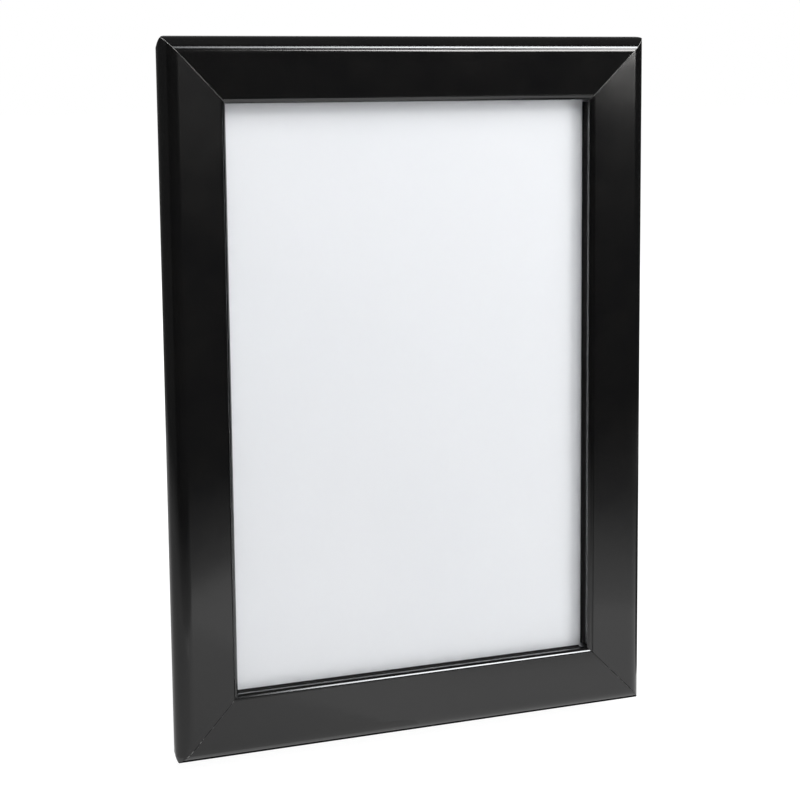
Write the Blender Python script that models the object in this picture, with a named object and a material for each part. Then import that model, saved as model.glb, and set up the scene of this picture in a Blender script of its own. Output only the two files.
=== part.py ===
"""Snap-open aluminium wall frame with mitred corners, holding one portrait sheet.

The frame hangs flat on a wall: +X is right, +Z is up, the wall is the plane y = 0 and
the front faces -Y.  The origin is the centre of the back.  All lengths are in metres.

Every side is built in a frame of its own: x runs along the side, z goes inward from the
outer edge and -y goes out from the wall.  Outlines are lists of (inward, outward) points.
"""

import math

import bmesh
import bpy
from mathutils import Vector

# Sheet that the frame shows, and how far each flap reaches over it
SHEET_WIDTH = 0.210
SHEET_HEIGHT = 0.297
SHEET_COVER = 0.012

# Clearances between pieces
FIT_GAP = 0.0003
MITRE_GAP = 0.00015
CUT_OVERRUN = 0.001

# Base rail walls
BASE_WALL = 0.0010
BASE_INSET = 0.0030
RIB_WALL = 0.0011
RIB_HEADROOM = 0.0031
RIB_HOOK_REACH = 0.0012
RIB_HOOK_WALL = 0.0004
NECK_WALL = 0.0016
NECK_LENGTH = 0.0005
KEEPER_REACH = 0.0008
KEEPER_WALL = 0.0004
GROOVE_WALL = 0.0010
GROOVE_LIP_WALL = 0.0009
PANEL_GRIP = 0.0020
SHELF_REACH = 0.0075

# Flap walls, its round shoulder and the facets along its inner edge
FLAP_WALL = 0.0013
SHOULDER_WIDTH = 0.0071
SHOULDER_HEIGHT = 0.0070
FACE_FALL = 0.0018
HEAD_ROOM = 0.0053
NOSE_WIDTH = 0.0025
NOSE_GROOVE_WIDTH = 0.0005
NOSE_GROOVE_DEPTH = 0.0003
NOSE_EDGE_WIDTH = 0.0009
NOSE_EDGE_DROP = 0.0009
NOSE_SLOPE_DROP = 0.00065
LIP_WALL = 0.0012
LIP_FOOT_RISE = 0.0005
LIP_RECESS_WIDTH = 0.0052
LIP_RECESS_DEPTH = 0.0004
LIP_TRIM = 0.0008
LIP_TRIM_DROP = 0.0006
HOOK_WALL = 0.0012
HOOK_DROP = 0.0034
HOOK_TO_RIB = 0.0079

# Hinge: a round bead along the flap, held in an open socket along the base rail
HINGE_BEAD_RADIUS = 0.0011
HINGE_WEB_LENGTH = 0.0011
SOCKET_WALL = 0.0006
SKIRT_DROP = 0.0002
SKIRT_CLIP = 0.0015
OPEN_LIFT = 0.0025
SOCKET_START = math.radians(-75)
SOCKET_END = math.radians(118)
WEB_SINK = 0.0005

# Corner keys, springs and sheets
KEY_WIDTH = 0.0067
KEY_WALL = 0.0015
KEY_ARM = 0.0360
SPRING_WIDTH = 0.0180
SPRING_WALL = 0.0005
SPRING_BOW = 0.0032
SPRING_SPREAD_SHARE = 0.25
PANEL_WALL = 0.0010
INSERT_WALL = 0.00025
COVER_WALL = 0.0004

# Screw holes in the top and bottom rails
SCREW_HOLE_RADIUS = 0.00225
SCREW_HEAD_RADIUS = 0.0034
SCREW_LAND = 0.0003
SCREW_SPREAD_SHARE = 0.27

# Facets on the round stretches, and the least angle of an edge that stays sharp
SHARP_ANGLE = math.radians(28)
SHOULDER_STEPS = 10
SOCKET_STEPS = 10
HINGE_STEPS = 16
HOLE_STEPS = 24
SPRING_STEPS = 12

# Places inward from the outer edge
pivot_in = FLAP_WALL + HINGE_WEB_LENGTH + HINGE_BEAD_RADIUS
socket_radius = HINGE_BEAD_RADIUS + FIT_GAP
socket_outer = socket_radius + SOCKET_WALL
rib_from = pivot_in + socket_outer + NECK_LENGTH
rib_to = rib_from + RIB_WALL
channel_to = rib_to + KEY_WIDTH + 2 * FIT_GAP
groove_from = channel_to + GROOVE_WALL
panel_edge = groove_from + FIT_GAP
groove_lip = panel_edge + PANEL_GRIP
sheet_edge = groove_lip + FIT_GAP
shelf_edge = sheet_edge + SHELF_REACH
flap_width = sheet_edge + SHEET_COVER
hook_from = rib_to + HOOK_TO_RIB

# Places outward from the wall
panel_back = BASE_WALL + FIT_GAP
panel_front = panel_back + PANEL_WALL
insert_back = panel_front + FIT_GAP
insert_front = insert_back + INSERT_WALL
cover_back = insert_front + FIT_GAP
cover_front = cover_back + COVER_WALL
lip_foot = cover_front + FIT_GAP
key_back = BASE_WALL + FIT_GAP
key_front = key_back + KEY_WALL
keeper_from = key_front + FIT_GAP
keeper_to = keeper_from + KEEPER_WALL
groove_lip_from = panel_front + FIT_GAP
groove_lip_to = groove_lip_from + GROOVE_LIP_WALL
pivot_out = pivot_in + OPEN_LIFT
face_out = pivot_out + socket_outer + HEAD_ROOM + FLAP_WALL
face_end = flap_width - NOSE_WIDTH
face_end_out = face_out - FACE_FALL
rib_top = face_out - FLAP_WALL - RIB_HEADROOM
skirt_edge = pivot_out - SKIRT_DROP
slope_from = face_end + NOSE_GROOVE_WIDTH
slope_to = flap_width - NOSE_EDGE_WIDTH
slope_out = face_end_out - NOSE_SLOPE_DROP
nose_out = slope_out - NOSE_EDGE_DROP
recess_from = lip_foot + LIP_FOOT_RISE
recess_to = recess_from + LIP_RECESS_WIDTH

frame_width = SHEET_WIDTH + 2 * sheet_edge
frame_height = SHEET_HEIGHT + 2 * sheet_edge

# Side name: turn about +Y from the bottom side, and whether it is a long side
SIDES = {
    "bottom": (0.0, False),
    "right": (-math.pi / 2, True),
    "top": (math.pi, False),
    "left": (math.pi / 2, True),
}


def clear_scene():
    for item in list(bpy.data.objects):
        bpy.data.objects.remove(item, do_unlink=True)


def material(name, colour, roughness, metallic, alpha=1.0):
    finish = bpy.data.materials.new(name)
    finish.use_nodes = True
    shader = finish.node_tree.nodes["Principled BSDF"]
    shader.inputs["Base Color"].default_value = (*colour, 1.0)
    shader.inputs["Roughness"].default_value = roughness
    shader.inputs["Metallic"].default_value = metallic
    shader.inputs["Alpha"].default_value = alpha
    return finish


def arc(centre, radius_in, radius_out, start, end, steps):
    """Points along an ellipse, whose angles are measured from inward towards outward."""
    points = []
    for step in range(steps + 1):
        angle = start + (end - start) * step / steps
        points.append((centre[0] + radius_in * math.cos(angle),
                       centre[1] + radius_out * math.sin(angle)))
    return points


def loft(name, rings, shared_material=None):
    """A closed solid through rings of points, with a flat cap on each end."""
    mesh = bpy.data.meshes.new(name)
    shape = bmesh.new()
    loops = [[shape.verts.new(point) for point in ring] for ring in rings]
    count = len(rings[0])
    for near, far in zip(loops, loops[1:]):
        for i in range(count):
            after = (i + 1) % count
            shape.faces.new((near[i], near[after], far[after], far[i]))
    shape.faces.new(loops[0])
    shape.faces.new(loops[-1])
    bmesh.ops.recalc_face_normals(shape, faces=shape.faces)
    shape.to_mesh(mesh)
    shape.free()
    if shared_material:
        mesh.materials.append(shared_material)
    item = bpy.data.objects.new(name, mesh)
    bpy.context.collection.objects.link(item)
    return item


def bar(name, outline, length, end_cut, origin=(0.0, 0.0), finish=None):
    """An extruded bar along x; end_cut(inward) says how far each end is cut back."""
    rings = []
    for direction in (-1, 1):
        rings.append([(direction * (length / 2 - end_cut(inward)),
                       origin[1] - outward,
                       inward - origin[0]) for inward, outward in outline])
    return loft(name, rings, finish)


def mitre(inward):
    return inward + MITRE_GAP


def square_end(distance):
    return lambda inward: distance


def combine(item, tool, operation):
    """Apply one boolean and drop the tool."""
    step = item.modifiers.new(operation, "BOOLEAN")
    step.operation = operation
    step.solver = "EXACT"
    step.object = tool
    bpy.context.view_layer.update()
    view = bpy.context.evaluated_depsgraph_get()
    result = bpy.data.meshes.new_from_object(item.evaluated_get(view))
    item.modifiers.clear()
    item.data = result
    bpy.data.objects.remove(tool, do_unlink=True)


def smooth(item):
    item.data.shade_smooth()
    item.data.set_sharp_from_angle(angle=SHARP_ANGLE)


def rectangle(inward_from, inward_to, outward_from, outward_to):
    return [(inward_from, outward_from), (inward_to, outward_from),
            (inward_to, outward_to), (inward_from, outward_to)]


def base_outline():
    """Wall plate, hinge socket, rib, key channel and the groove for the panel."""
    pivot = (pivot_in, pivot_out)
    neck_turn = math.asin(NECK_WALL / 2 / socket_outer)
    outline = [(BASE_INSET, 0.0), (shelf_edge, 0.0), (shelf_edge, BASE_WALL),
               (groove_from, BASE_WALL), (groove_from, groove_lip_from),
               (groove_lip, groove_lip_from), (groove_lip, groove_lip_to),
               (channel_to - KEEPER_REACH, groove_lip_to),
               (channel_to - KEEPER_REACH, keeper_from), (channel_to, keeper_from),
               (channel_to, BASE_WALL), (rib_to, BASE_WALL), (rib_to, keeper_from),
               (rib_to + KEEPER_REACH, keeper_from), (rib_to + KEEPER_REACH, keeper_to),
               (rib_to, keeper_to), (rib_to, rib_top - RIB_HOOK_WALL),
               (rib_to + RIB_HOOK_REACH, rib_top - RIB_HOOK_WALL),
               (rib_to + RIB_HOOK_REACH, rib_top), (rib_from, rib_top),
               (rib_from, pivot_out + NECK_WALL / 2)]
    outline += arc(pivot, socket_outer, socket_outer, neck_turn, SOCKET_END, SOCKET_STEPS)
    outline += arc(pivot, socket_radius, socket_radius, SOCKET_END, SOCKET_START,
                   2 * SOCKET_STEPS)
    outline += arc(pivot, socket_outer, socket_outer, SOCKET_START, -neck_turn,
                   SOCKET_STEPS // 2)
    outline += [(rib_from, pivot_out - NECK_WALL / 2), (rib_from, BASE_WALL),
                (BASE_INSET, BASE_WALL)]
    return outline


def screw_cutter(along):
    """A countersunk hole through the wall plate, seen from inside the key channel."""
    middle = (rib_to + channel_to) / 2
    rings = []
    for radius, outward in ((SCREW_HOLE_RADIUS, -CUT_OVERRUN),
                            (SCREW_HOLE_RADIUS, SCREW_LAND),
                            (SCREW_HEAD_RADIUS, BASE_WALL),
                            (SCREW_HEAD_RADIUS, BASE_WALL + CUT_OVERRUN)):
        ring = []
        for step in range(HOLE_STEPS):
            angle = 2 * math.pi * step / HOLE_STEPS
            ring.append((along + radius * math.cos(angle), -outward,
                         middle + radius * math.sin(angle)))
        rings.append(ring)
    return loft("screw_cutter", rings)


def base_rail(name, length, with_holes, finish):
    rail = bar(name, base_outline(), length, mitre, finish=finish)
    if with_holes:
        for direction in (-1, 1):
            along = direction * SCREW_SPREAD_SHARE * length
            combine(rail, screw_cutter(along), "DIFFERENCE")
    smooth(rail)
    return rail


def flap_outline():
    """Skirt, round shoulder, sloping face, faceted nose and the lip that holds the sheets."""
    centre = (SHOULDER_WIDTH, face_out - SHOULDER_HEIGHT)
    outline = [(0.0, skirt_edge)]
    outline += arc(centre, SHOULDER_WIDTH, SHOULDER_HEIGHT, math.pi, math.pi / 2,
                   SHOULDER_STEPS)
    outline += [(face_end, face_end_out),
                (face_end + NOSE_GROOVE_WIDTH / 2, face_end_out - NOSE_GROOVE_DEPTH),
                (slope_from, face_end_out), (slope_to, slope_out),
                (flap_width, nose_out), (flap_width, recess_to),
                (flap_width - LIP_RECESS_DEPTH, recess_to),
                (flap_width - LIP_RECESS_DEPTH, recess_from),
                (flap_width, recess_from), (flap_width, lip_foot),
                (flap_width - LIP_WALL, lip_foot),
                (flap_width - LIP_WALL, nose_out - LIP_WALL / 2),
                (face_end, face_end_out - FLAP_WALL)]
    outline += arc(centre, SHOULDER_WIDTH - FLAP_WALL, SHOULDER_HEIGHT - FLAP_WALL,
                   math.pi / 2, math.pi, SHOULDER_STEPS)
    outline += [(FLAP_WALL, skirt_edge)]
    return outline


def skirt_cutter(direction, length):
    """Slants the end of the skirt, so that the open flap stays behind its mitre."""
    reach = pivot_in + pivot_out + SKIRT_CLIP + MITRE_GAP
    far_in = pivot_in
    corner = length / 2
    low = skirt_edge - CUT_OVERRUN
    outline = [(-CUT_OVERRUN, low), (reach - low, low),
               (-CUT_OVERRUN, reach + CUT_OVERRUN)]
    rings = []
    for inward in (-CUT_OVERRUN, far_in):
        rings.append([(direction * (corner - along), pivot_out - outward,
                       inward - pivot_in) for along, outward in outline])
    return loft("skirt_cutter", rings)


def lip_cutter(direction, length):
    """Trims the end of the lip below the nose, which leaves a slot at the mitre."""
    corner = length / 2
    top = nose_out - LIP_TRIM_DROP
    outline = rectangle(flap_width - LIP_WALL - CUT_OVERRUN, flap_width + CUT_OVERRUN,
                        lip_foot - CUT_OVERRUN, top)
    rings = []
    for along in (flap_width - LIP_WALL - CUT_OVERRUN, flap_width + LIP_TRIM):
        rings.append([(direction * (corner - along), pivot_out - outward,
                       inward - pivot_in) for inward, outward in outline])
    return loft("lip_cutter", rings)


def flap(name, length, finish):
    origin = (pivot_in, pivot_out)
    cover = bar(name, flap_outline(), length, mitre, origin, finish)
    for direction in (-1, 1):
        combine(cover, skirt_cutter(direction, length), "DIFFERENCE")
        combine(cover, lip_cutter(direction, length), "DIFFERENCE")
    hinge_end = pivot_in + HINGE_BEAD_RADIUS + FIT_GAP
    web_turn = math.pi / 2 + math.asin(WEB_SINK / HINGE_BEAD_RADIUS)
    hinge = [(FLAP_WALL - WEB_SINK, pivot_out)]
    hinge += arc(origin, HINGE_BEAD_RADIUS, HINGE_BEAD_RADIUS, -math.pi,
                 math.pi - web_turn, HINGE_STEPS)
    hinge += [(FLAP_WALL - WEB_SINK, pivot_out + HINGE_BEAD_RADIUS)]
    combine(cover, bar("hinge_bead", hinge, length, square_end(hinge_end), origin), "UNION")
    hook_share = (hook_from - SHOULDER_WIDTH) / (face_end - SHOULDER_WIDTH)
    hook_top = face_out - FLAP_WALL / 2 - FACE_FALL * hook_share
    hook = rectangle(hook_from, hook_from + HOOK_WALL,
                     face_out - FLAP_WALL - HOOK_DROP, hook_top)
    hook_end = hook_from + HOOK_WALL + CUT_OVERRUN
    combine(cover, bar("hook", hook, length, square_end(hook_end), origin), "UNION")
    smooth(cover)
    return cover


def spring_outline():
    """A leaf that bows towards the wall between the rib's hook and the flap's hook."""
    start = (rib_to + FIT_GAP + SPRING_WALL / 2,
             rib_top - RIB_HOOK_WALL - FIT_GAP - SPRING_WALL / 2)
    end = (hook_from - FIT_GAP - SPRING_WALL / 2, start[1])
    middle = [(start[0] + (end[0] - start[0]) * step / SPRING_STEPS,
               start[1] - SPRING_BOW * math.sin(math.pi * step / SPRING_STEPS))
              for step in range(SPRING_STEPS + 1)]
    near, far = [], []
    for step, point in enumerate(middle):
        before = Vector(middle[max(step - 1, 0)])
        after = Vector(middle[min(step + 1, SPRING_STEPS)])
        along = (after - before).normalized()
        across = Vector((-along.y, along.x)) * SPRING_WALL / 2
        near.append((point[0] + across.x, point[1] + across.y))
        far.append((point[0] - across.x, point[1] - across.y))
    return near + far[::-1]


def spring(name, finish):
    leaf = bar(name, spring_outline(), SPRING_WIDTH, square_end(0.0), finish=finish)
    smooth(leaf)
    return leaf


def corner_key(name, finish):
    """An L-shaped plate at the bottom left corner, with its origin on that corner."""
    near = rib_to + FIT_GAP
    far = near + KEY_WIDTH
    end = near + KEY_ARM
    corners = [(near, near), (end, near), (end, far), (far, far), (far, end), (near, end)]
    rings = [[(x, -outward, z) for x, z in corners] for outward in (key_back, key_front)]
    return loft(name, rings, finish)


def sheet(name, inset, back, front, finish):
    """A flat sheet whose edges lie this far in from the frame's outer edges."""
    half_width = frame_width / 2 - inset
    half_height = frame_height / 2 - inset
    corners = [(-half_width, -half_height), (half_width, -half_height),
               (half_width, half_height), (-half_width, half_height)]
    rings = [[(x, -outward, z) for x, z in corners] for outward in (back, front)]
    return loft(name, rings, finish)


def empty(name, location, turn):
    guide = bpy.data.objects.new(name, None)
    guide.location = location
    guide.rotation_euler = (0.0, turn, 0.0)
    bpy.context.collection.objects.link(guide)
    return guide


def side_guide(side, turn):
    """An empty on the middle of the side's outer edge, turned to the side's own frame."""
    place = {
        "bottom": (0.0, 0.0, -frame_height / 2),
        "right": (frame_width / 2, 0.0, 0.0),
        "top": (0.0, 0.0, frame_height / 2),
        "left": (-frame_width / 2, 0.0, 0.0),
    }[side]
    return empty("side_" + side, place, turn)


def place_copy(item, name, parent, location):
    """The first use keeps the object; later ones are objects that share its mesh."""
    if item.parent is not None:
        item = bpy.data.objects.new(name, item.data)
        bpy.context.collection.objects.link(item)
    item.name = name
    item.parent = parent
    item.location = location
    return item


def build():
    clear_scene()
    black = material("black_aluminium", (0.018, 0.018, 0.020), 0.38, 0.75)
    steel = material("spring_steel", (0.42, 0.43, 0.45), 0.32, 1.0)
    zinc = material("zinc_plated_steel", (0.55, 0.56, 0.58), 0.40, 1.0)
    panel_white = material("panel_white", (0.70, 0.71, 0.73), 0.55, 0.0)
    paper_white = material("paper_white", (0.80, 0.81, 0.83), 0.70, 0.0)
    clear = material("clear_cover", (0.90, 0.92, 0.94), 0.12, 0.0, 0.25)

    rails = {}
    flaps = {}
    leaf = spring("spring", steel)
    for side, (turn, is_long) in SIDES.items():
        length = frame_height if is_long else frame_width
        if is_long not in rails:
            rails[is_long] = base_rail("base_rail", length, not is_long, black)
            flaps[is_long] = flap("flap", length, black)
        guide = side_guide(side, turn)
        place_copy(rails[is_long], "base_rail_" + side, guide, (0.0, 0.0, 0.0))
        place_copy(flaps[is_long], "flap_" + side, guide, (0.0, -pivot_out, pivot_in))
        for number, direction in enumerate((-1, 1), start=1):
            along = direction * SPRING_SPREAD_SHARE * length / 2
            place_copy(leaf, "spring_{}_{}".format(side, number), guide,
                       (along, 0.0, 0.0))

    corners = {
        "bottom_left": (-1, -1, 0.0),
        "bottom_right": (1, -1, -math.pi / 2),
        "top_right": (1, 1, math.pi),
        "top_left": (-1, 1, math.pi / 2),
    }
    key = corner_key("corner_key", zinc)
    for corner, (across, up, turn) in corners.items():
        guide = empty("corner_" + corner,
                      (across * frame_width / 2, 0.0, up * frame_height / 2), turn)
        place_copy(key, "corner_key_" + corner, guide, (0.0, 0.0, 0.0))

    sheet("back_panel", panel_edge, panel_back, panel_front, panel_white)
    sheet("insert_sheet", sheet_edge, insert_back, insert_front, paper_white)
    sheet("cover_sheet", sheet_edge, cover_back, cover_front, clear)


build()
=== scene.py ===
"""Looks of the snap-open wall frame: fine side profiles, mitres, springs, finishes and studio."""

import math

import bmesh
import bpy
from mathutils import Matrix, Vector


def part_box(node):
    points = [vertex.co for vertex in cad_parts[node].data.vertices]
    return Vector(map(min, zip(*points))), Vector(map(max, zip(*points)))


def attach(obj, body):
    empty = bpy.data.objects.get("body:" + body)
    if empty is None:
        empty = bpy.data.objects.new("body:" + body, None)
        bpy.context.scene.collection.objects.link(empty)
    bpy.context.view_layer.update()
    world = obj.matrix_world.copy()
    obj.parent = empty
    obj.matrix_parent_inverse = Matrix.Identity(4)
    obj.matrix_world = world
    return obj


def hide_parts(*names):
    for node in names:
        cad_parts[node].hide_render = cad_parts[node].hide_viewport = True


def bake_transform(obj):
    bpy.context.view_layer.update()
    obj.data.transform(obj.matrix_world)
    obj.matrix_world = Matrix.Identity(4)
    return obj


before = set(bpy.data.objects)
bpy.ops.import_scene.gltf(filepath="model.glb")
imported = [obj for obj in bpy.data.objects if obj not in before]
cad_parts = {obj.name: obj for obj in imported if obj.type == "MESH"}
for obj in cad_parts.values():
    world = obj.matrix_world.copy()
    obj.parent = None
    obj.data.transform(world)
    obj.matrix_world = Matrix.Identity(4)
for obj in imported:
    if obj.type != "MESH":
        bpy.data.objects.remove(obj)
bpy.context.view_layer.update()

# Sizes shared with the solids, in metres
FLAP_WIDTH = 0.030
FACE_OUT = 0.0146
FACE_FALL = 0.0018
FLAP_WALL = 0.0013
SHOULDER_WIDTH = 0.0071
SHOULDER_HEIGHT = 0.0070
SKIRT_EDGE = 0.0058
PIVOT_IN = 0.0035
PIVOT_OUT = 0.0060
HINGE_BEAD = 0.0011
NOSE_WIDTH = 0.0025
NOSE_GROOVE_WIDTH = 0.0005
NOSE_GROOVE_DEPTH = 0.0003
NOSE_EDGE_WIDTH = 0.0009
NOSE_EDGE_DROP = 0.0009
NOSE_SLOPE_DROP = 0.00065
LIP_WALL = 0.0012
LIP_FOOT = 0.00385
RECESS_FROM = 0.00435
RECESS_TO = 0.00955
RECESS_DEPTH = 0.0004
LIP_TRIM = 0.0008
LIP_TRIM_DROP = 0.0006
HOOK_FROM = 0.0150
HOOK_WALL = 0.0012
HOOK_DROP = 0.0034
SKIRT_CLIP = 0.0015
RIB_TO = 0.0071
SPRING_WIDTH = 0.018
SPRING_WALL = 0.0005
SPRING_BOW = 0.0032
SPRING_OUT = 0.00925
FIT_GAP = 0.0003
WEB_SINK = 0.0005

# Finer than the solids: hairline mitres, rounded edges and chamfered ends
MITRE_GAP = 0.00008
EDGE_ROUND = 0.00018
MITRE_CHAMFER = 0.00009
# Fine steps along the nose: the groove's walls, the end of the slope and the tip
GROOVE_NEAR_LEAN = 0.00008
GROOVE_FAR_LEAN = 0.00012
GROOVE_FAR_DROP = 0.00004
GROOVE_FAR_RETURN = 0.00006
SLOPE_END_RUN = 0.00008
SLOPE_END_DROP = 0.0001
TIP_RUN = 0.00006
TIP_DROP = 0.00007
# Fine steps down the lip: the trimmed end, the recess and the wall behind them
TRIM_STEP = 0.00002
TRIM_BACK_DROP = 0.0002
RECESS_STEP = 0.00005
RECESS_SAG = 0.0001
RECESS_BACK_DROP = 0.0003
RECESS_MIDDLE_BACK = 0.0072
TOLERANCE = 0.00001
LIP_TOLERANCE = 0.0001
MERGE_DISTANCE = 1e-7
# The hook's sunk root, its round foot and its ends, and the ends of a spring
HOOK_SINK = 0.0007
HOOK_FOOT = 0.0003
HOOK_END_GAP = 0.001
SPRING_END_GAP = 0.00055

# Shares along the face, the nose's slope and a spring, and how a spring narrows and thins
FACE_SHARES = (0.03, 0.35, 0.7, 0.985)
SLOPE_SHARES = (0.1, 0.5, 0.9)
SPRING_ROW_SHARES = (-1, -0.97, 0, 0.97, 1)
SPRING_TAPER_SHARE = 0.18
SPRING_TAPER_POWER = 6
SPRING_THIN_SHARE = 0.7

# Facets, and the least angle of an edge that stays sharp
SHOULDER_STEPS = 24
SKIRT_STEPS = 6
ROUND_STEPS = 3
HINGE_STEPS = 22
HINGE_END_DEGREES = 63
HOOK_STEPS = 8
SPRING_STEPS = 28
SHARP_DEGREES = 32

WIDTH = 0.246
HEIGHT = 0.333
SIDES = {
    "bottom": (WIDTH, (1, 0, 0), (0, 0, 1), (0, 0, -HEIGHT / 2)),
    "right": (HEIGHT, (0, 0, 1), (-1, 0, 0), (WIDTH / 2, 0, 0)),
    "top": (WIDTH, (-1, 0, 0), (0, 0, -1), (0, 0, HEIGHT / 2)),
    "left": (HEIGHT, (0, 0, -1), (1, 0, 0), (-WIDTH / 2, 0, 0)),
}


# Node materials; a mix node's colour sockets have no names of their own
FIRST_COLOUR, SECOND_COLOUR, MIXED_COLOUR = 6, 7, 2


def map_range(tree, value, low, high, to_low, to_high):
    made = tree.nodes.new("ShaderNodeMapRange")
    for key, number in (("From Min", low), ("From Max", high),
                        ("To Min", to_low), ("To Max", to_high)):
        made.inputs[key].default_value = number
    tree.links.new(value, made.inputs["Value"])
    return made.outputs["Result"]


class Graph:
    """Short calls for building one material's nodes."""

    def __init__(self, name):
        self.material = bpy.data.materials.new(name)
        self.material.use_nodes = True
        self.tree = self.material.node_tree
        self.shader = self.tree.nodes["Principled BSDF"]

    def node(self, kind, **values):
        made = self.tree.nodes.new(kind)
        for key, value in values.items():
            setattr(made, key, value)
        return made

    def link(self, source, target):
        self.tree.links.new(source, target)

    def noise(self, vector, scale, detail=3.0, roughness=0.5):
        made = self.node("ShaderNodeTexNoise")
        made.inputs["Scale"].default_value = scale
        made.inputs["Detail"].default_value = detail
        made.inputs["Roughness"].default_value = roughness
        self.link(vector, made.inputs["Vector"])
        return made.outputs["Fac"]

    def stretched(self, vector, scale):
        made = self.node("ShaderNodeMapping")
        made.inputs["Scale"].default_value = scale
        self.link(vector, made.inputs["Vector"])
        return made.outputs["Vector"]

    def remap(self, value, low, high, to_low=0.0, to_high=1.0):
        return map_range(self.tree, value, low, high, to_low, to_high)

    def math(self, operation, first, second):
        made = self.node("ShaderNodeMath", operation=operation)
        for socket, value in zip(made.inputs, (first, second)):
            if isinstance(value, (int, float)):
                socket.default_value = value
            else:
                self.link(value, socket)
        return made.outputs["Value"]

    def mix(self, factor, first, second):
        made = self.node("ShaderNodeMix", data_type="RGBA")
        self.link(factor, made.inputs["Factor"])
        for number, value in ((FIRST_COLOUR, first), (SECOND_COLOUR, second)):
            if isinstance(value, tuple):
                made.inputs[number].default_value = (*value, 1.0)
            else:
                self.link(value, made.inputs[number])
        return made.outputs[MIXED_COLOUR]

    def bump(self, heights):
        """A chain of bumps: (height socket, distance in metres, strength)."""
        normal = None
        for height, distance, strength in heights:
            made = self.node("ShaderNodeBump")
            made.inputs["Distance"].default_value = distance
            made.inputs["Strength"].default_value = strength
            self.link(height, made.inputs["Height"])
            if normal:
                self.link(normal, made.inputs["Normal"])
            normal = made.outputs["Normal"]
        self.link(normal, self.shader.inputs["Normal"])

    def set(self, **values):
        for key, value in values.items():
            socket = self.shader.inputs[key.replace("_", " ")]
            if isinstance(value, (int, float)):
                socket.default_value = value
            else:
                self.link(value, socket)


def coat_material(name, coordinates, sheen):
    """Semi-gloss black coat with a fine skin, long drawn lines, dust specks and light rubs."""
    g = Graph(name)
    where = g.node("ShaderNodeTexCoord").outputs[coordinates]
    skin = g.noise(where, 2600.0, detail=2.0)
    cloud = g.noise(where, 38.0, detail=4.0, roughness=0.6)
    drawn = g.noise(g.stretched(where, (9.0, 1500.0, 1500.0)), 1.0)
    rubs = g.noise(g.stretched(where, (60.0, 900.0, 900.0)), 1.0, detail=4.0, roughness=0.7)
    rub_mask = g.remap(rubs, 0.70, 0.78)
    dots = g.node("ShaderNodeTexVoronoi")
    dots.inputs["Scale"].default_value = 170.0
    g.link(where, dots.inputs["Vector"])
    speck = g.remap(dots.outputs["Distance"], 0.030, 0.018)
    sparse = g.remap(g.noise(where, 61.0, detail=2.0), 0.56, 0.60)
    speck = g.math("MULTIPLY", speck, sparse)
    colour = g.mix(g.remap(cloud, 0.35, 0.75), (0.0022, 0.0022, 0.0024), (0.0034, 0.0033, 0.0031))
    colour = g.mix(g.math("MULTIPLY", rub_mask, 0.25), colour, (0.05, 0.05, 0.052))
    colour = g.mix(g.math("MULTIPLY", speck, 0.7), colour, (0.30, 0.30, 0.29))
    rough = g.remap(cloud, 0.3, 0.8, 0.10, 0.14)
    rough = g.math("ADD", rough, g.math("MULTIPLY", rub_mask, 0.10))
    rough = g.math("ADD", rough, g.math("MULTIPLY", speck, 0.3))
    g.set(Base_Color=colour, Roughness=rough, Metallic=0.0, Specular_IOR_Level=sheen)
    g.bump([(skin, 0.00001, 0.20), (drawn, 0.000008, 0.10), (cloud, 0.0002, 0.03)])
    return g.material


def recess_material():
    """Matt black of the lip's recess, which the coat hardly reaches."""
    g = Graph("lip_recess")
    where = g.node("ShaderNodeTexCoord").outputs["UV"]
    grain = g.noise(where, 1500.0)
    g.set(Base_Color=g.mix(grain, (0.0015, 0.0015, 0.0017), (0.0040, 0.0036, 0.0032)),
          Roughness=g.remap(grain, 0.3, 0.7, 0.70, 0.85), Specular_IOR_Level=0.15)
    g.bump([(grain, 0.00002, 0.3)])
    return g.material


def bare_metal():
    """Sawn aluminium along the mitres, patchy where the coat laps over its edge."""
    g = Graph("bare_mitre")
    where = g.node("ShaderNodeTexCoord").outputs["Object"]
    saw = g.noise(g.stretched(where, (700.0, 5000.0, 5000.0)), 1.0, detail=2.0)
    patch = g.noise(where, 520.0, detail=4.0, roughness=0.65)
    place = g.node("ShaderNodeSeparateXYZ")
    g.link(where, place.inputs[0])
    # More bare metal shows towards the top and less towards the bottom.
    towards_top = g.remap(place.outputs["Z"], -0.15, 0.15, -0.10, 0.14)
    shown = g.remap(g.math("ADD", patch, towards_top), 0.46, 0.56)
    g.set(Base_Color=g.mix(shown, (0.012, 0.012, 0.013), (0.50, 0.50, 0.49)),
          Roughness=g.remap(saw, 0.3, 0.7, 0.35, 0.55),
          Metallic=g.math("MULTIPLY", shown, 0.8))
    g.bump([(saw, 0.00002, 0.4)])
    return g.material


def steel_material():
    g = Graph("spring_steel_leaf")
    where = g.node("ShaderNodeTexCoord").outputs["Object"]
    rolled = g.noise(g.stretched(where, (2400.0, 160.0, 2400.0)), 1.0)
    cloud = g.noise(where, 160.0, detail=4.0, roughness=0.6)
    g.set(Base_Color=g.mix(cloud, (0.30, 0.31, 0.33), (0.52, 0.53, 0.55)),
          Roughness=g.remap(rolled, 0.3, 0.7, 0.24, 0.40),
          Metallic=1.0)
    g.bump([(rolled, 0.00001, 0.3)])
    return g.material


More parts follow.
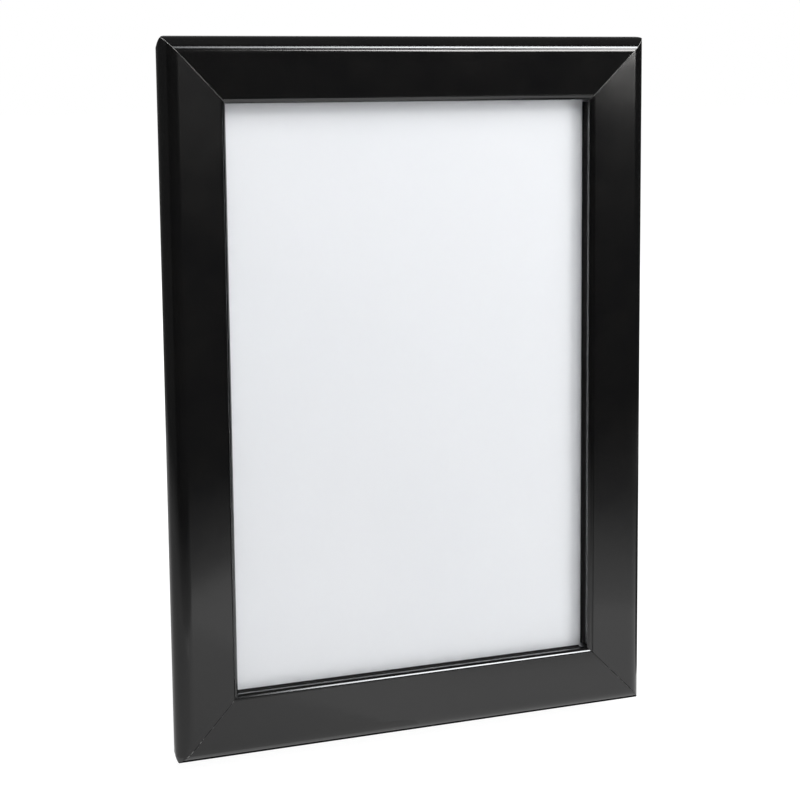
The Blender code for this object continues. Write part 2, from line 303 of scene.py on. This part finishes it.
def zinc_material():
    g = Graph("zinc_key")
    where = g.node("ShaderNodeTexCoord").outputs["Object"]
    cells = g.node("ShaderNodeTexVoronoi")
    cells.inputs["Scale"].default_value = 420.0
    g.link(where, cells.inputs["Vector"])
    tone = g.node("ShaderNodeSeparateColor")
    g.link(cells.outputs["Color"], tone.inputs["Color"])
    fine = g.noise(where, 1900.0)
    g.set(Base_Color=g.mix(tone.outputs["Red"], (0.46, 0.48, 0.50), (0.62, 0.63, 0.64)),
          Roughness=g.remap(tone.outputs["Green"], 0.0, 1.0, 0.30, 0.48),
          Metallic=1.0)
    g.bump([(fine, 0.00001, 0.3)])
    return g.material


def panel_material():
    """White sheet plastic with a faint pressed texture."""
    g = Graph("panel_back")
    where = g.node("ShaderNodeTexCoord").outputs["Object"]
    cloud = g.noise(where, 22.0, detail=4.0, roughness=0.55)
    grain = g.noise(where, 1700.0)
    g.set(Base_Color=g.mix(cloud, (0.66, 0.67, 0.69), (0.73, 0.735, 0.745)),
          Roughness=g.remap(grain, 0.3, 0.7, 0.42, 0.60))
    g.bump([(grain, 0.00002, 0.35)])
    return g.material


def paper_material():
    """Blank paper: tiny fibres and a hardly seen cloudiness."""
    g = Graph("paper_insert")
    where = g.node("ShaderNodeTexCoord").outputs["Object"]
    fibre = g.noise(g.stretched(where, (900.0, 900.0, 2600.0)), 1.0, detail=4.0, roughness=0.7)
    cloud = g.noise(where, 14.0)
    g.set(Base_Color=g.mix(cloud, (0.800, 0.806, 0.828), (0.818, 0.823, 0.843)),
          Roughness=g.remap(fibre, 0.3, 0.7, 0.70, 0.85))
    g.bump([(fibre, 0.00003, 0.3)])
    return g.material


def cover_material():
    """Clear cover: mostly see-through straight on, glossier at a slant."""
    g = Graph("clear_cover_sheet")
    where = g.node("ShaderNodeTexCoord").outputs["Object"]
    wave = g.noise(where, 11.0)
    weight = g.node("ShaderNodeLayerWeight")
    weight.inputs["Blend"].default_value = 0.35
    g.set(Base_Color=g.mix(wave, (0.85, 0.87, 0.89), (0.88, 0.89, 0.90)),
          Roughness=g.remap(wave, 0.3, 0.7, 0.08, 0.14),
          Alpha=g.remap(weight.outputs["Fresnel"], 0.0, 1.0, 0.10, 0.85),
          Coat_Weight=1.0, Coat_Roughness=0.05)
    g.bump([(wave, 0.0004, 0.15)])
    return g.material


COAT_SHEEN = 0.57
LIP_SHEEN = 1.0
COAT = coat_material("black_coat", "UV", COAT_SHEEN)
COAT_RAIL = coat_material("black_coat_rail", "Object", COAT_SHEEN)
COAT_LIP = coat_material("black_coat_lip", "UV", LIP_SHEEN)
BARE = bare_metal()
RECESS = recess_material()
STEEL = steel_material()
ZINC = zinc_material()
PANEL = panel_material()
PAPER = paper_material()
CLEAR = cover_material()


# Material slots of a side
COAT_SLOT, BARE_SLOT, RECESS_SLOT, LIP_SLOT = range(4)


# Shapes
def arc(centre, radius_in, radius_out, start, end, steps):
    points = []
    for step in range(steps + 1):
        angle = math.radians(start + (end - start) * step / steps)
        points.append((centre[0] + radius_in * math.cos(angle),
                       centre[1] + radius_out * math.sin(angle)))
    return points


def flap_paths():
    """Matching points on the outside and the inside of one side's section."""
    centre = (SHOULDER_WIDTH, FACE_OUT - SHOULDER_HEIGHT)
    face_end = FLAP_WIDTH - NOSE_WIDTH
    end_out = FACE_OUT - FACE_FALL
    slope_from = face_end + NOSE_GROOVE_WIDTH
    slope_to = FLAP_WIDTH - NOSE_EDGE_WIDTH
    slope_out = end_out - NOSE_SLOPE_DROP
    nose_out = slope_out - NOSE_EDGE_DROP
    r = EDGE_ROUND
    inner_shoulder = arc(centre, SHOULDER_WIDTH - FLAP_WALL, SHOULDER_HEIGHT - FLAP_WALL,
                         180, 90, SHOULDER_STEPS)
    back = FLAP_WIDTH - LIP_WALL
    under_nose = (back, nose_out - LIP_WALL / 2)
    pairs = [((FLAP_WALL / 2, SKIRT_EDGE), (FLAP_WALL / 2, SKIRT_EDGE))]
    pairs += list(zip(arc((r, SKIRT_EDGE + r), r, r, 270, 180, ROUND_STEPS),
                      arc((FLAP_WALL - r, SKIRT_EDGE + r), r, r, -90, 0, ROUND_STEPS)))
    low = SKIRT_EDGE + 2 * r
    for step in range(SKIRT_STEPS):
        out = low + (centre[1] - low) * step / SKIRT_STEPS
        pairs.append(((0.0, out), (FLAP_WALL, out)))
    shoulder = arc(centre, SHOULDER_WIDTH, SHOULDER_HEIGHT, 180, 90, SHOULDER_STEPS)
    pairs += list(zip(shoulder, inner_shoulder))
    for share in FACE_SHARES:
        inward = centre[0] + (face_end - centre[0]) * share
        drop = FACE_FALL * share
        pairs.append(((inward, FACE_OUT - drop), (inward, FACE_OUT - FLAP_WALL - drop)))
    pairs.append(((face_end, end_out), (face_end, end_out - FLAP_WALL)))
    floor_out = end_out - NOSE_GROOVE_DEPTH
    nose = [(face_end + GROOVE_NEAR_LEAN, floor_out), (slope_from - GROOVE_FAR_LEAN, floor_out),
            (slope_from, end_out - GROOVE_FAR_DROP), (slope_from + GROOVE_FAR_RETURN, end_out)]
    for share in SLOPE_SHARES:
        nose.append((slope_from + (slope_to - slope_from) * share,
                     end_out - NOSE_SLOPE_DROP * share))
    nose += [(slope_to, slope_out), (slope_to + SLOPE_END_RUN, slope_out - SLOPE_END_DROP),
             (FLAP_WIDTH - TIP_RUN, nose_out + TIP_DROP), (FLAP_WIDTH, nose_out)]
    pairs += [(point, under_nose) for point in nose]
    depth = nose_out - LIP_TRIM_DROP
    floor = FLAP_WIDTH - RECESS_DEPTH
    pairs += [((FLAP_WIDTH, depth + TRIM_STEP), (back, depth - TRIM_BACK_DROP)),
              ((FLAP_WIDTH, depth), (back, depth - TRIM_BACK_DROP - TRIM_STEP)),
              ((FLAP_WIDTH, RECESS_TO), (back, RECESS_TO - RECESS_BACK_DROP)),
              ((floor, RECESS_TO - RECESS_STEP),
               (back, RECESS_TO - RECESS_BACK_DROP - RECESS_SAG)),
              ((floor - RECESS_SAG, (RECESS_FROM + RECESS_TO) / 2), (back, RECESS_MIDDLE_BACK)),
              ((floor, RECESS_FROM + RECESS_STEP), (back, RECESS_FROM + RECESS_STEP)),
              ((FLAP_WIDTH - RECESS_STEP, RECESS_FROM), (back, RECESS_FROM))]
    pairs += list(zip(arc((FLAP_WIDTH - r, LIP_FOOT + r), r, r, 0, -90, ROUND_STEPS),
                      arc((back + r, LIP_FOOT + r), r, r, 180, 270, ROUND_STEPS)))
    middle = (FLAP_WIDTH - LIP_WALL / 2, LIP_FOOT)
    pairs.append((middle, middle))
    outer, inner = zip(*pairs)
    return list(outer), list(inner), depth


def in_recess(point):
    inward, out = point
    return (inward > FLAP_WIDTH - LIP_WALL
            and RECESS_FROM - LIP_TOLERANCE < out < RECESS_TO + LIP_TOLERANCE)


def on_lip_band(point):
    """Whether the point lies on the glossier band of the lip, between the nose and the recess."""
    inward, out = point
    return inward > FLAP_WIDTH - TOLERANCE and out > RECESS_TO - TOLERANCE


def end_cut(point, trim_below):
    """How far the end of the side is cut back at this point of the section."""
    inward, out = point
    cut = inward
    if inward < PIVOT_IN:
        cut = max(cut, PIVOT_IN + PIVOT_OUT + SKIRT_CLIP - out)
    if inward > FLAP_WIDTH - LIP_WALL - LIP_TOLERANCE and out <= trim_below + TOLERANCE:
        cut = max(cut, FLAP_WIDTH + LIP_TRIM)
    return cut + MITRE_GAP


def inset(path, distance):
    """Each point of the outside moved into the wall, for the chamfer at the mitre."""
    moved = []
    for i, point in enumerate(path):
        before = Vector(path[max(i - 1, 0)])
        after = Vector(path[min(i + 1, len(path) - 1)])
        along = after - before
        along = along.normalized() if along.length > 0 else Vector((1.0, 0.0))
        moved.append((point[0] + along.y * distance, point[1] - along.x * distance))
    return moved


class Side:
    """Turns (along, inward, outward) into the row frame for one side."""

    def __init__(self, name):
        self.length, along, inward, origin = SIDES[name]
        self.along = Vector(along)
        self.inward = Vector(inward)
        self.origin = Vector(origin)

    def place(self, along, inward, outward):
        return self.origin + self.along * along + self.inward * inward + Vector((0, -outward, 0))


def new_piece(name, shape, materials):
    bmesh.ops.recalc_face_normals(shape, faces=shape.faces)
    mesh = bpy.data.meshes.new(name)
    shape.to_mesh(mesh)
    shape.free()
    for item in materials:
        mesh.materials.append(item)
    made = bpy.data.objects.new(name, mesh)
    bpy.context.collection.objects.link(made)
    mesh.shade_smooth()
    mesh.set_sharp_from_angle(angle=math.radians(SHARP_DEGREES))
    return made


def closed_bar(shape, side, outline, half_length, paint):
    """Adds an extruded closed bar with square ends."""
    rings = []
    for direction in (-1, 1):
        rings.append([shape.verts.new(side.place(direction * half_length, *point))
                      for point in outline])
    count = len(outline)
    travel = 0.0
    for i in range(count):
        after = (i + 1) % count
        face = shape.faces.new((rings[0][i], rings[0][after], rings[1][after], rings[1][i]))
        step = math.dist(outline[i], outline[after])
        paint(face, half_length, travel, step)
        travel += step
    for ring in rings:
        shape.faces.new(ring)


def make_flap(name):
    """One hinged side: a thin drawn section with mitred ends, its hinge bead and its hook."""
    side = Side(name)
    outer, inner, depth = flap_paths()
    shape = bmesh.new()
    uv = shape.loops.layers.uv.new("UVMap")
    half = side.length / 2

    def ring(path, shift, source):
        made = []
        for direction in (-1, 1):
            made.append([shape.verts.new(side.place(
                direction * (half - end_cut(origin, depth) - shift), *point))
                for point, origin in zip(path, source)])
        return made

    full = ring(outer, MITRE_CHAMFER, outer)
    tip = ring(inset(outer, MITRE_CHAMFER), 0.0, outer)
    inside = ring(inner, 0.0, inner)
    count = len(outer)
    travel = [0.0]
    for before, after in zip(outer, outer[1:]):
        travel.append(travel[-1] + math.dist(before, after))

    def quad(corners, places, slot):
        seen = []
        for corner, place in zip(corners, places):
            if corner not in [item[0] for item in seen]:
                seen.append((corner, place))
        if len(seen) < 3:
            return
        face = shape.faces.new([corner for corner, place in seen])
        face.material_index = slot
        for loop, (corner, place) in zip(face.loops, seen):
            loop[uv].uv = place

    def long_faces(rows, slot, path=()):
        for i in range(count - 1):
            finish = slot
            if path and in_recess(path[i]) and in_recess(path[i + 1]):
                finish = RECESS_SLOT
            elif path and on_lip_band(path[i]) and on_lip_band(path[i + 1]):
                finish = LIP_SLOT
            corners = (rows[0][i], rows[0][i + 1], rows[1][i + 1], rows[1][i])
            places = [(along_of(corner, side), travel[j])
                      for corner, j in zip(corners, (i, i + 1, i + 1, i))]
            quad(corners, places, finish)

    def cap_faces(first, second, slot):
        for i in range(count - 1):
            corners = (first[i], first[i + 1], second[i + 1], second[i])
            places = [(along_of(corner, side), travel[i]) for corner in corners]
            quad(corners, places, slot)

    long_faces(full, COAT_SLOT, outer)
    long_faces(inside, COAT_SLOT)
    for end in (0, 1):
        cap_faces(full[end], tip[end], BARE_SLOT)
        cap_faces(tip[end], inside[end], BARE_SLOT)

    def paint(face, half_length, start, step):
        for loop, place in zip(face.loops, ((-half_length, start), (-half_length, start + step),
                                            (half_length, start + step), (half_length, start))):
            loop[uv].uv = place

    hinge = [(FLAP_WALL - WEB_SINK, PIVOT_OUT)]
    hinge += arc((PIVOT_IN, PIVOT_OUT), HINGE_BEAD, HINGE_BEAD, -180, HINGE_END_DEGREES,
                 HINGE_STEPS)
    hinge += [(FLAP_WALL - WEB_SINK, PIVOT_OUT + HINGE_BEAD)]
    closed_bar(shape, side, hinge, half - PIVOT_IN - HINGE_BEAD - FIT_GAP, paint)
    hook_top = FACE_OUT - FLAP_WALL / 2 - HOOK_SINK
    foot = FACE_OUT - FLAP_WALL - HOOK_DROP
    hook = arc((HOOK_FROM + HOOK_WALL / 2, foot + HOOK_FOOT), HOOK_WALL / 2, HOOK_FOOT, 180, 360,
               HOOK_STEPS)
    hook += [(HOOK_FROM + HOOK_WALL, hook_top), (HOOK_FROM, hook_top)]
    closed_bar(shape, side, hook, half - HOOK_FROM - HOOK_WALL - HOOK_END_GAP, paint)
    bmesh.ops.remove_doubles(shape, verts=shape.verts, dist=MERGE_DISTANCE)
    made = new_piece("side_" + name, shape, [COAT, BARE, RECESS, COAT_LIP])
    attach(made, name + "_side")
    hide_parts("flap_" + name)
    return made


def along_of(vertex, side):
    return (vertex.co - side.origin).dot(side.along)


def make_spring(name, number):
    """A bowed leaf between the rib and the hook, narrowing towards its ends and thinner along its
    edges.
    """
    side = Side(name)
    low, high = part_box("spring_{}_{}".format(name, number))
    middle = (low + high) / 2
    centre = (middle - side.origin).dot(side.along)
    start = RIB_TO + SPRING_END_GAP
    end = HOOK_FROM - SPRING_END_GAP
    steps = SPRING_STEPS
    last = 2 * (len(SPRING_ROW_SHARES) - 1)
    shape = bmesh.new()
    rows = []
    line = [(start + (end - start) * step / steps,
             SPRING_OUT - SPRING_BOW * math.sin(math.pi * step / steps))
            for step in range(steps + 1)]
    for step, point in enumerate(line):
        before = Vector(line[max(step - 1, 0)])
        after = Vector(line[min(step + 1, steps)])
        direction = (after - before).normalized()
        normal = Vector((-direction.y, direction.x)) * SPRING_WALL / 2
        taper = 1.0 - SPRING_TAPER_SHARE * abs(2 * step / steps - 1) ** SPRING_TAPER_POWER
        row = []
        for across in SPRING_ROW_SHARES:
            for face in (1, -1):
                thin = SPRING_THIN_SHARE if abs(across) == 1 else 1.0
                row.append(shape.verts.new(side.place(
                    centre + across * taper * SPRING_WIDTH / 2,
                    point[0] + normal.x * face * thin,
                    point[1] + normal.y * face * thin)))
        rows.append(row)
    for near, far in zip(rows, rows[1:]):
        for i in range(0, last, 2):
            shape.faces.new((near[i], near[i + 2], far[i + 2], far[i]))
            shape.faces.new((near[i + 1], far[i + 1], far[i + 3], near[i + 3]))
        shape.faces.new((near[0], far[0], far[1], near[1]))
        shape.faces.new((near[last], near[last + 1], far[last + 1], far[last]))
    for row in (rows[0], rows[-1]):
        for i in range(0, last, 2):
            shape.faces.new((row[i], row[i + 2], row[i + 3], row[i + 1]))
    made = new_piece("leaf_{}_{}".format(name, number), shape, [STEEL])
    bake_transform(made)
    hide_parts("spring_{}_{}".format(name, number))
    return made


for side_name in SIDES:
    make_flap(side_name)
    for spring_number in (1, 2):
        make_spring(side_name, spring_number)

FINISHES = {
    "base_rail": COAT_RAIL, "corner_key": ZINC, "back_panel": PANEL,
    "insert_sheet": PAPER, "cover_sheet": CLEAR,
}
for node_name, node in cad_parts.items():
    for prefix, finish in FINISHES.items():
        if node_name.startswith(prefix):
            node.data.materials.clear()
            node.data.materials.append(finish)


# Studio: the even light that falls on the pieces, and tones of the floor from near to far
FILL_COLOUR = (0.94, 0.97, 1.0, 1.0)
FILL_STRENGTH = 0.16
FLOOR_BOUNCE = 0.78
FLOOR_SHADOW = 0.20
FLOOR_FADE = (0.5, 1.4)
FLOOR_GLOW = (0.90, 1.0)


def light_path_mix(tree, seen, unseen):
    """Shows one shader to camera, glossy and transmission rays, and the other to the rest."""
    path = tree.nodes.new("ShaderNodeLightPath")
    value = path.outputs["Is Camera Ray"]
    for name in ("Is Glossy Ray", "Is Transmission Ray"):
        most = tree.nodes.new("ShaderNodeMath")
        most.operation = "MAXIMUM"
        tree.links.new(value, most.inputs[0])
        tree.links.new(path.outputs[name], most.inputs[1])
        value = most.outputs["Value"]
    mixed = tree.nodes.new("ShaderNodeMixShader")
    tree.links.new(value, mixed.inputs["Fac"])
    tree.links.new(unseen, mixed.inputs[1])
    tree.links.new(seen, mixed.inputs[2])
    return mixed.outputs["Shader"]


def make_world():
    world = bpy.data.worlds.new("studio")
    bpy.context.scene.world = world
    world.use_nodes = True
    tree = world.node_tree
    tree.nodes.clear()
    white = tree.nodes.new("ShaderNodeBackground")
    white.inputs["Strength"].default_value = 1.0
    white.inputs["Color"].default_value = (1.0, 1.0, 1.0, 1.0)
    fill = tree.nodes.new("ShaderNodeBackground")
    fill.inputs["Color"].default_value = FILL_COLOUR
    fill.inputs["Strength"].default_value = FILL_STRENGTH
    out = tree.nodes.new("ShaderNodeOutputWorld")
    tree.links.new(light_path_mix(tree, white.outputs[0], fill.outputs[0]), out.inputs["Surface"])


def flat_piece(name, rows, finish):
    shape = bmesh.new()
    for corners in rows:
        shape.faces.new([shape.verts.new(corner) for corner in corners])
    mesh = bpy.data.meshes.new(name)
    shape.to_mesh(mesh)
    shape.free()
    mesh.materials.append(finish)
    made = bpy.data.objects.new(name, mesh)
    bpy.context.collection.objects.link(made)
    return made


# The floor lies lower than the bottom side reaches when it is open; the cards start higher
FLOOR_OUT = -HEIGHT / 2 - 0.0062
CARD_FOOT = -HEIGHT / 2 - 0.0004
FLOOR_REACH = 30.0


def make_floor():
    """Pale floor that keeps a faint shadow near the frame and goes to plain white far from it."""
    finish = bpy.data.materials.new("pale_floor")
    finish.use_nodes = True
    tree = finish.node_tree
    tree.nodes.clear()
    plain = tree.nodes.new("ShaderNodeBsdfDiffuse")
    plain.inputs["Color"].default_value = (*(FLOOR_BOUNCE,) * 3, 1.0)
    weak = tree.nodes.new("ShaderNodeBsdfDiffuse")
    weak.inputs["Color"].default_value = (*(FLOOR_SHADOW,) * 3, 1.0)
    glow = tree.nodes.new("ShaderNodeEmission")
    where = tree.nodes.new("ShaderNodeTexCoord")
    away = tree.nodes.new("ShaderNodeVectorMath")
    away.operation = "LENGTH"
    tree.links.new(where.outputs["Object"], away.inputs[0])
    tree.links.new(map_range(tree, away.outputs["Value"], *FLOOR_FADE, *FLOOR_GLOW),
                   glow.inputs["Strength"])
    both = tree.nodes.new("ShaderNodeAddShader")
    tree.links.new(weak.outputs[0], both.inputs[0])
    tree.links.new(glow.outputs[0], both.inputs[1])
    out = tree.nodes.new("ShaderNodeOutputMaterial")
    tree.links.new(light_path_mix(tree, both.outputs[0], plain.outputs[0]), out.inputs["Surface"])
    flat_piece("floor", [[(x * FLOOR_REACH, y * FLOOR_REACH, FLOOR_OUT)
                          for x, y in ((-1, -1), (1, -1), (1, 1), (-1, 1))]], finish)


# Cards that only reflections see, lit by a glow of their own: the glow paints reflections of a
# dark studio and of the floor's light and shade
FLOOR_CARD = CARD_FOOT + 0.001
# An unlit strip under the frame paints its shadow on the floor into reflections
UNDER_SHADOW_CARD = CARD_FOOT + 0.0002
CEILING = 1.75
FOOT_FADE = 0.065
# Glow at the foot of the upright cards: to the left of a plane across the set, and to its right
FOOT_SPLIT = 0.1
LEFT_FOOT_GLOW = 0.50
RIGHT_FOOT_GLOW = 0.22
# Plan of the band of cards: place on the floor, height of the top edge and glow of the next card
CARD_PATH = [(-0.60, 0.90, 1.2, 0.11), (-0.60, 0.0, 1.2, 0.11), (-0.40, -0.16, 1.2, 0.03),
             (-0.15, -0.24, 0.24, 0.03), (0.02, -0.30, 0.22, 0.03), (0.14, -0.39, 0.20, 0.03),
             (0.30, -0.50, 0.14, 0.03), (0.55, -0.45, 0.14, 0.03), (0.70, -0.10, 0.14, 0.03),
             (0.75, 0.30, 0.5, 0.03), (0.60, 0.90, 0.5, 0.15), (-0.60, 0.90, 0.5, 0.15)]
# Walls behind the camera and to the right, and their glow
WALLS = [((-2.5, -1.1), (2.5, -1.1)), ((2.5, -1.1), (2.5, 1.5))]
WALL_GLOW = 0.03
# Flat cards: corners, height and the glow of each corner
FLAT_CARDS = [
    # dimmer card on the floor to the left: painted shade of the frame's shadow there, seen in
    # reflections, dimmest furthest left
    ([(-0.6, -0.2), (-0.13, -0.2), (-0.13, 0.9), (-0.6, 0.9)], FLOOR_CARD,
     (0.42, 0.74, 0.74, 0.42)),
    ([(-0.13, -0.015), (0.0, -0.015), (0.0, -0.29), (-0.13, -0.235)], FLOOR_CARD,
     (0.82, 1.0, 1.0, 0.82)),
    ([(0.16, 0.0), (0.75, -0.06), (0.75, 0.9), (0.16, 0.9)], FLOOR_CARD, (0.05,) * 4),
    # the unlit strip under the frame: a painted shadow seen only in reflections
    ([(-0.123, -0.0120), (0.123, -0.0120), (0.123, 0.04), (-0.123, 0.04)], UNDER_SHADOW_CARD, (0.0,) * 4),
    ([(-2.5, -2.5), (2.5, -2.5), (2.5, 2.5), (-2.5, 2.5)], CEILING, (0.12,) * 4),
]
# Fan on the floor to the right, whose glow paints the floor's light in reflections, darkening away
# from the frame: radius and glow
FAN_CENTRE = (0.11, -0.013)
FAN_RINGS = [(0.20, 1.0), (0.28, 0.82), (0.36, 0.62), (0.45, 0.42), (0.54, 0.24), (0.63, 0.10)]
FAN_ANGLES = (-88, -70, -52, -34, -16, -3)


def card_material():
    """Each card's own glow, which fades from its foot over the first centimetres."""
    finish = bpy.data.materials.new("dark_card")
    finish.use_nodes = True
    tree = finish.node_tree
    tree.nodes.clear()
    where = tree.nodes.new("ShaderNodeTexCoord")
    parts = tree.nodes.new("ShaderNodeSeparateXYZ")
    tree.links.new(where.outputs["Object"], parts.inputs[0])
    glow = tree.nodes.new("ShaderNodeEmission")
    fade = tree.nodes.new("ShaderNodeMapRange")
    fade.inputs["From Min"].default_value = CARD_FOOT
    fade.inputs["From Max"].default_value = CARD_FOOT + FOOT_FADE
    tree.links.new(parts.outputs["Z"], fade.inputs["Value"])
    for name, socket in (("foot_glow", "To Min"), ("high_glow", "To Max")):
        given = tree.nodes.new("ShaderNodeAttribute")
        given.attribute_name = name
        tree.links.new(given.outputs["Fac"], fade.inputs[socket])
    tree.links.new(fade.outputs["Result"], glow.inputs["Strength"])
    out = tree.nodes.new("ShaderNodeOutputMaterial")
    tree.links.new(glow.outputs[0], out.inputs["Surface"])
    return finish


def make_cards():
    """A band of cards round the set, two walls, the flat cards and the fan."""
    rows = []
    glows = []
    for first, last in zip(CARD_PATH, CARD_PATH[1:]):
        rows.append([(first[0], first[1], FLOOR_CARD), (last[0], last[1], FLOOR_CARD),
                     (last[0], last[1], last[2]), (first[0], first[1], first[2])])
        foot = LEFT_FOOT_GLOW if first[0] < FOOT_SPLIT else RIGHT_FOOT_GLOW
        glows.append([(foot, first[3])] * 4)
        rows.append([(first[0], first[1], FLOOR_OUT), (last[0], last[1], FLOOR_OUT),
                     (last[0], last[1], FLOOR_CARD), (first[0], first[1], FLOOR_CARD)])
        glows.append([(1.0, 1.0)] * 4)
    for first, last in WALLS:
        rows.append([(*first, FLOOR_OUT), (*last, FLOOR_OUT), (*last, CEILING), (*first, CEILING)])
        glows.append([(LEFT_FOOT_GLOW, WALL_GLOW)] * 4)
    for plan, height, corner_glows in FLAT_CARDS:
        rows.append([(x, y, height) for x, y in plan])
        glows.append([(glow, glow) for glow in corner_glows])
    for near, far in zip(FAN_RINGS, FAN_RINGS[1:]):
        for start, end in zip(FAN_ANGLES, FAN_ANGLES[1:]):
            rows.append([(FAN_CENTRE[0] + radius * math.cos(math.radians(angle)),
                          FAN_CENTRE[1] + radius * math.sin(math.radians(angle)), FLOOR_CARD)
                         for radius, angle in ((near[0], start), (far[0], start),
                                               (far[0], end), (near[0], end))])
            glows.append([(glow, glow) for glow in (near[1], far[1], far[1], near[1])])
    cards = flat_piece("dark_cards", rows, card_material())
    for name, number in (("foot_glow", 0), ("high_glow", 1)):
        layer = cards.data.attributes.new(name, "FLOAT", "POINT")
        layer.data.foreach_set("value", [glow[number] for corners in glows for glow in corners])
    cards.visible_camera = False
    cards.visible_diffuse = False
    cards.visible_shadow = False
    cards.visible_transmission = False
    cards.visible_volume_scatter = False


def make_softbox(name, centre, size, aim, radiance, colour=(1.0, 1.0, 1.0), ramp=None):
    """An even soft light, or one that fades in from its left edge up to a share of its width."""
    lamp = bpy.data.lights.new(name, "AREA")
    lamp.shape = "RECTANGLE"
    lamp.size, lamp.size_y = size
    lamp.energy = radiance * math.pi * size[0] * size[1]
    lamp.color = colour
    if ramp:
        lamp.use_nodes = True
        tree = lamp.node_tree
        where = tree.nodes.new("ShaderNodeNewGeometry")
        parts = tree.nodes.new("ShaderNodeSeparateXYZ")
        tree.links.new(where.outputs["Parametric"], parts.inputs[0])
        tree.links.new(map_range(tree, parts.outputs["X"], *ramp, 0.0, 1.0),
                       tree.nodes["Emission"].inputs["Strength"])
    item = bpy.data.objects.new(name, lamp)
    item.location = centre
    item.rotation_euler = Vector(aim).to_track_quat("-Z", "Y").to_euler()
    bpy.context.collection.objects.link(item)
    return item


# The photograph's view: degrees, metres, and the focal length in pixels of its width
CAMERA_AZIMUTH = 23.95
CAMERA_ELEVATION = 8.55
CAMERA_ROLL = -0.54
CAMERA_DISTANCE = 0.98489
CAMERA_AIM = (-0.00402, -0.0006, -0.00511)
FOCAL_PIXELS = 2054.65
PICTURE_PIXELS = 800
SENSOR_WIDTH = 36.0


def make_camera():
    """Looks from the left and a little above, nearly a metre away."""
    azimuth = math.radians(CAMERA_AZIMUTH)
    elevation = math.radians(CAMERA_ELEVATION)
    roll = math.radians(CAMERA_ROLL)
    right = Vector((math.cos(azimuth), -math.sin(azimuth), 0.0))
    ahead = Vector((math.sin(azimuth) * math.cos(elevation),
                    math.cos(azimuth) * math.cos(elevation), -math.sin(elevation)))
    above = right.cross(ahead)
    right, above = (right * math.cos(roll) + above * math.sin(roll),
                    above * math.cos(roll) - right * math.sin(roll))
    data = bpy.data.cameras.new("camera")
    data.sensor_width = SENSOR_WIDTH
    data.lens = FOCAL_PIXELS / PICTURE_PIXELS * SENSOR_WIDTH
    data.clip_start = 0.05
    data.clip_end = 100.0
    camera = bpy.data.objects.new("camera", data)
    turn = Matrix((right, above, -ahead)).transposed().to_4x4()
    place = Vector(CAMERA_AIM) - ahead * CAMERA_DISTANCE
    camera.matrix_world = Matrix.Translation(place) @ turn
    bpy.context.collection.objects.link(camera)
    bpy.context.scene.camera = camera


make_world()
make_floor()
make_cards()
reflected = [
    make_softbox("low_strip", centre=(0.57, -1.0, 0.29), size=(0.76, 0.20), aim=(0, 1, 0),
                 radiance=17.0, colour=(1.0, 0.985, 0.965), ramp=(0.0, 0.33)),
    make_softbox("high_strip", centre=(0.57, -1.0, 0.80), size=(0.76, 0.26), aim=(0, 1, 0),
                 radiance=24.0, colour=(0.96, 0.98, 1.0), ramp=(0.02, 0.50)),
    make_softbox("between", centre=(0.74, -1.0, 0.53), size=(0.42, 0.238), aim=(0, 1, 0),
                 radiance=12.0, ramp=(0.05, 0.45)),
]
for strip in reflected:
    strip.visible_diffuse = False
make_softbox("key", centre=(-0.24, -0.85, 1.34), size=(0.5, 0.6), aim=(0.24, 0.85, -1.34),
             radiance=17.0)
fills = [
    make_softbox("front_fill", centre=(0.2, -2.2, 2.0), size=(2.4, 1.6), aim=(-0.2, 2.2, -2.0),
                 radiance=5.2),
    make_softbox("right_fill", centre=(1.9, -1.9, 0.7), size=(1.2, 1.4), aim=(-1.9, 1.9, -0.7),
                 radiance=11.0),
    make_softbox("back_fill", centre=(0.4, 2.4, 1.3), size=(2.0, 1.4), aim=(-0.4, -2.4, -1.3),
                 radiance=4.5),
]
for fill in fills:
    fill.visible_glossy = False
make_camera()
bpy.context.scene.view_settings.view_transform = "Standard"
